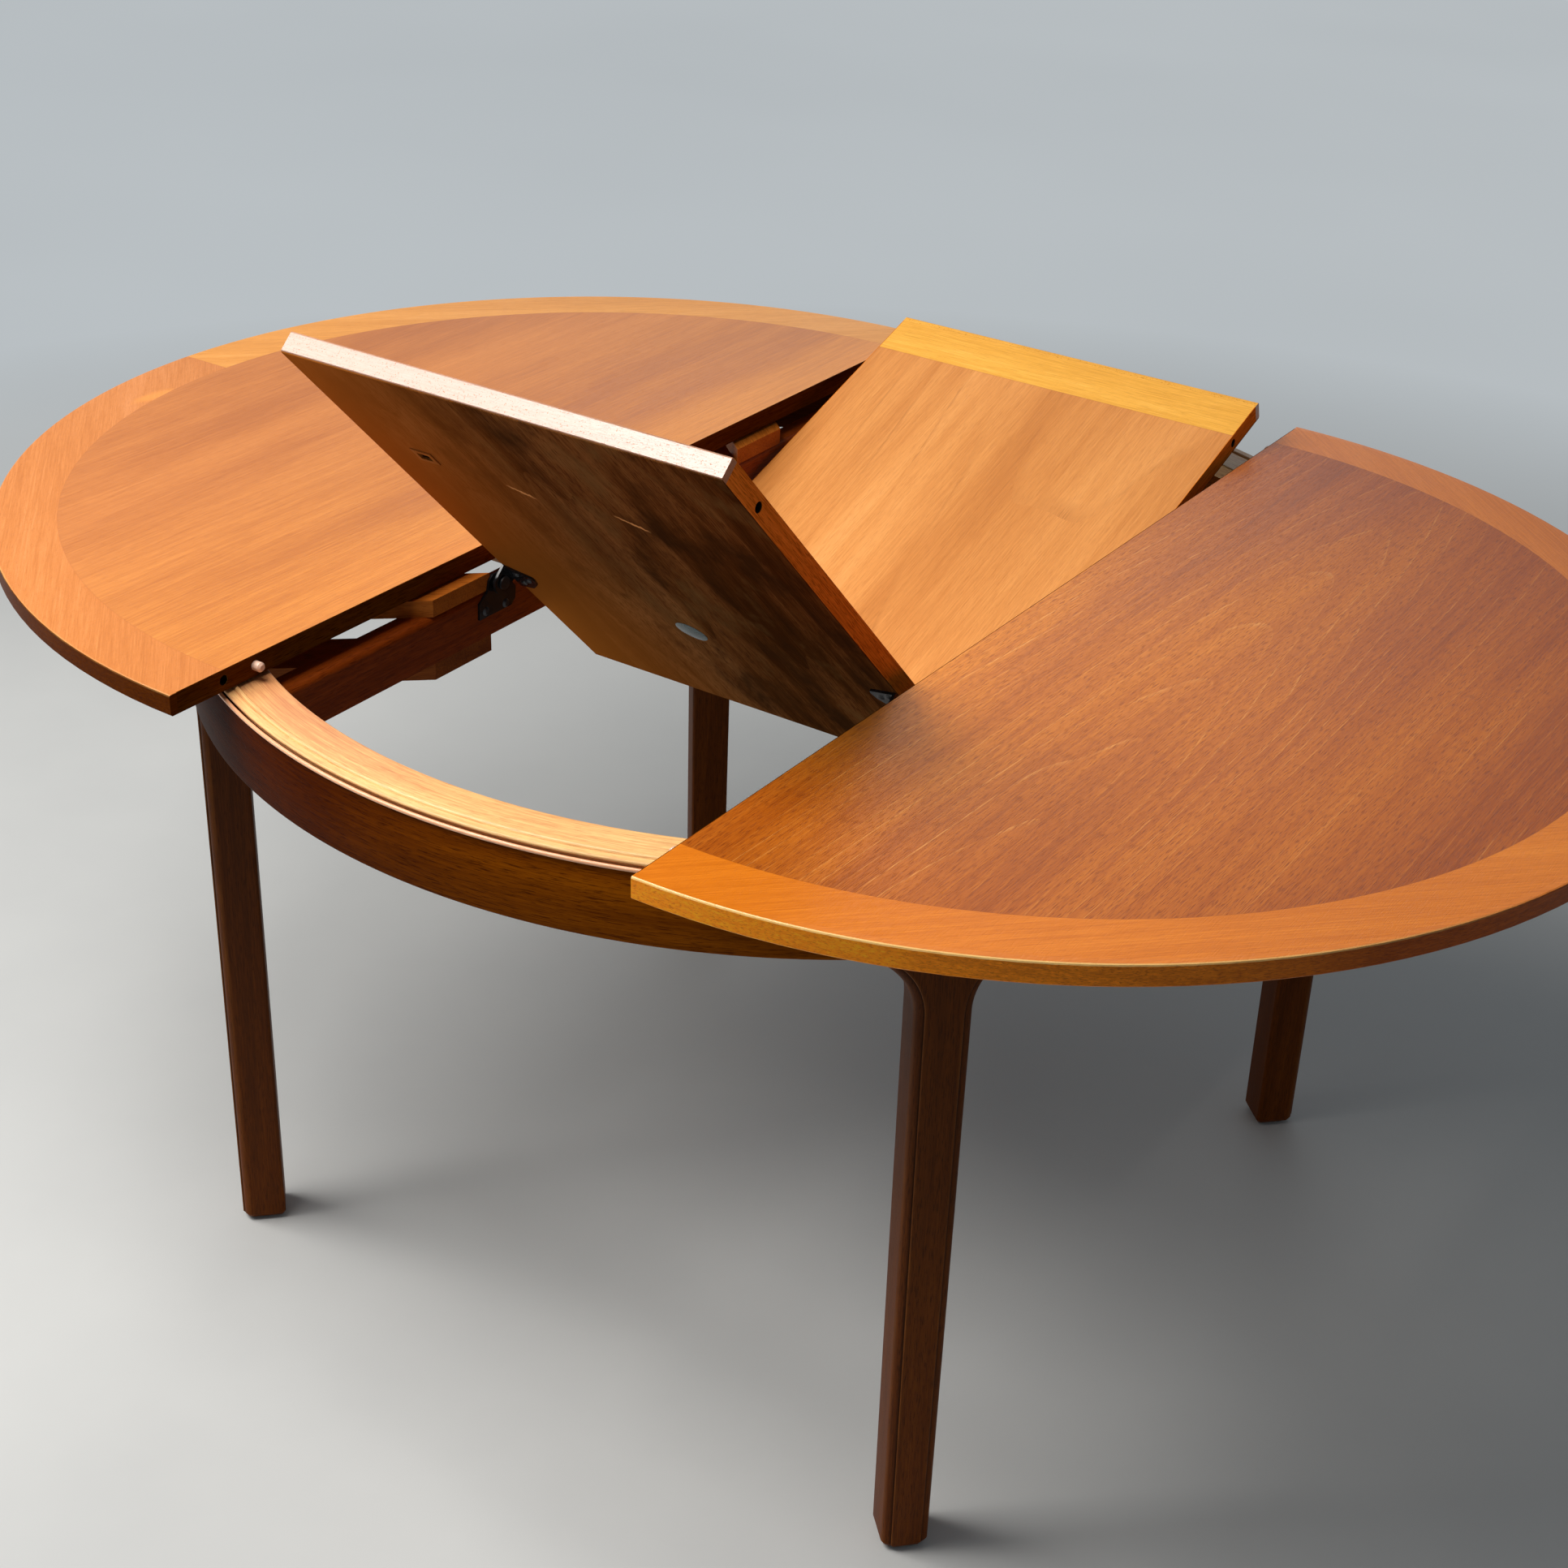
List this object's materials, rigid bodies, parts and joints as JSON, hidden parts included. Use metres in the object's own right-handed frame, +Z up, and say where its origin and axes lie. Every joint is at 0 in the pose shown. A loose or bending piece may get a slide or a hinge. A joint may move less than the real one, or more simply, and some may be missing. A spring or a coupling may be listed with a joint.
{
  "type": "butterfly leaf table",
  "caption": "Round extending dining table: sliding half-round tops, a folding leaf that pivots up through the gap between them, ring apron and flared legs.",
  "frame": {"origin": "on the floor, under the middle of the round apron", "axes": "+Z up, +X to the right along the way the tops slide, -Y to the end where the half-raised flap points"},
  "size_m": [1.6838, 1.2, 1.0215],
  "materials": {
    "teak_field": "satin lacquer",
    "teak_edge": "satin lacquer",
    "dark_teak": "satin stain",
    "pale_beech": "raw",
    "brown_beech": "stained",
    "plain_beech": "raw",
    "dowel_wood": "raw",
    "black_steel": "gloss black",
    "brass": "satin",
    "grey_disc": "satin",
    "glide_plastic": "matt",
    "screw_steel": "zinc"
  },
  "bodies": {
    "base": {"apron_band_right": "dark_teak", "apron_band_back": "dark_teak", "apron_band_left": "dark_teak", "apron_band_front": "dark_teak", "cap_ring_right": "pale_beech", "cap_ring_back": "pale_beech", "cap_ring_left": "pale_beech", "cap_ring_front": "pale_beech", "leg_front_left": "dark_teak", "leg_front_right": "dark_teak", "leg_back_right": "dark_teak", "leg_back_left": "dark_teak", "foot_glides": "glide_plastic", "leg_bolts": "screw_steel", "beam_left": "brown_beech", "beam_right": "brown_beech", "brace_upper_front_left": "brown_beech", "brace_upper_front_right": "brown_beech", "brace_upper_back_right": "brown_beech", "brace_upper_back_left": "brown_beech", "brace_lower_front_left": "brown_beech", "brace_lower_front_right": "brown_beech", "brace_lower_back_right": "brown_beech", "brace_lower_back_left": "brown_beech", "brace_screws": "screw_steel", "guide_rail_left_front": "plain_beech", "guide_rail_left_back": "plain_beech", "guide_rail_right_front": "plain_beech", "guide_rail_right_back": "plain_beech", "pivot_plate_left": "black_steel", "pivot_plate_right": "black_steel", "pivot_pin_left": "screw_steel", "pivot_pin_right": "screw_steel", "plate_screws": "screw_steel"},
    "left_top": {"top_board_left": "teak_field", "top_lipping_left": "teak_edge", "dowels_left": "dowel_wood", "runner_left_front": "plain_beech", "runner_left_back": "plain_beech"},
    "right_top": {"top_board_right": "teak_field", "top_lipping_right": "teak_edge", "dowels_right": "dowel_wood", "runner_right_front": "plain_beech", "runner_right_back": "plain_beech"},
    "front_leaf": {"leaf_board_front": "teak_field", "leaf_lipping_front": "teak_edge", "hinge_plates_front": "brass", "hinge_pins": "brass", "pivot_ear_left": "black_steel", "pivot_ear_right": "black_steel", "ear_screws": "screw_steel", "underside_disc": "grey_disc", "strike_plate": "black_steel"},
    "back_leaf": {"leaf_board_back": "teak_field", "leaf_lipping_back": "teak_edge", "hinge_plates_back": "brass"}
  },
  "joints": [
    {"name": "left_top_slide", "type": "slide", "parent": "base", "child": "left_top", "axis": [1, 0, 0], "range_m": [0, 0.0197]},
    {"name": "right_top_slide", "type": "slide", "parent": "base", "child": "right_top", "axis": [-1, 0, 0], "range_m": [0, 0.0197]},
    {"name": "leaf_pivot", "type": "hinge", "parent": "base", "child": "front_leaf", "pos_m": [0, -0.196, 0.7065], "axis": [-1, 0, 0], "range_deg": [-46.4, 81.3]},
    {"name": "leaf_fold", "type": "hinge", "parent": "front_leaf", "child": "back_leaf", "pos_m": [0, -0.03636, 0.58787], "axis": [1, 0, 0], "range_deg": [-65.4, 114.6]}
  ],
  "couplings": [
    {"joint": "leaf_fold", "follows": "leaf_pivot", "ratio": 1.4095}
  ]
}
